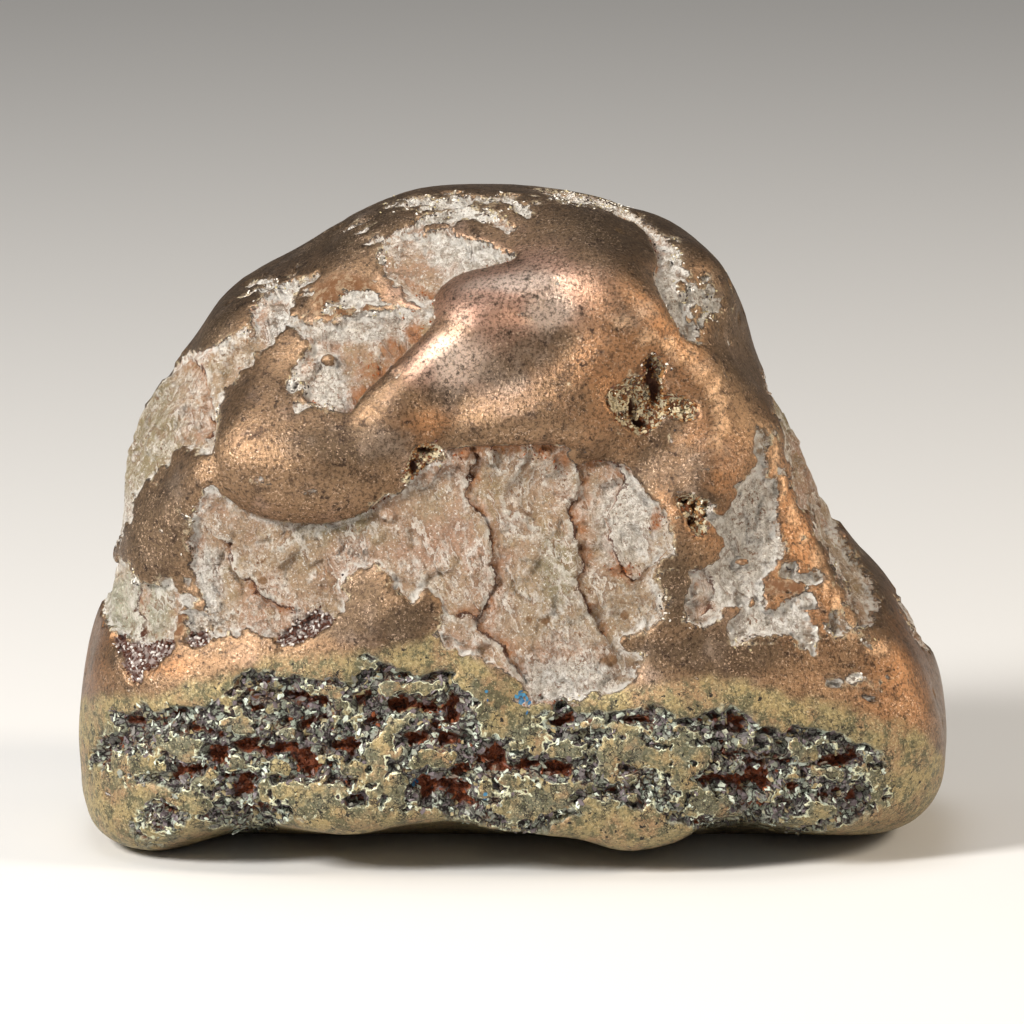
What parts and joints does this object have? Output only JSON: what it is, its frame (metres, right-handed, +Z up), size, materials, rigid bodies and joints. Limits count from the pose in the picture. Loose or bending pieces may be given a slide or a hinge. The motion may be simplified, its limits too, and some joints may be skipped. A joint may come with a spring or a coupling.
{
  "type": "domeykite specimen",
  "caption": "Palm-sized nodule of metallic domeykite grown together with milky quartz, polished over its lobes and porous along its foot, resting on its own flat.",
  "frame": {"origin": "on the flat of the underside, below the middle of the lump's length and depth", "axes": "+Z up, +X along the long side towards the right of the display face, -Y out of the display face"},
  "size_m": [0.0599, 0.0355, 0.0448],
  "materials": {
    "domeykite": "polished and tarnished pinkish brown, brassy along the foot, with milky quartz grown through it",
    "quartz": "milky, finely granular, stained with rust along its cracks",
    "crust": "matt grey-green weathered crust of small plates",
    "rust": "dark red-brown crystalline lining of the pits",
    "azurite": "tiny blue specks"
  },
  "bodies": {
    "root": {"domeykite_nodule": "domeykite"}
  },
  "joints": []
}
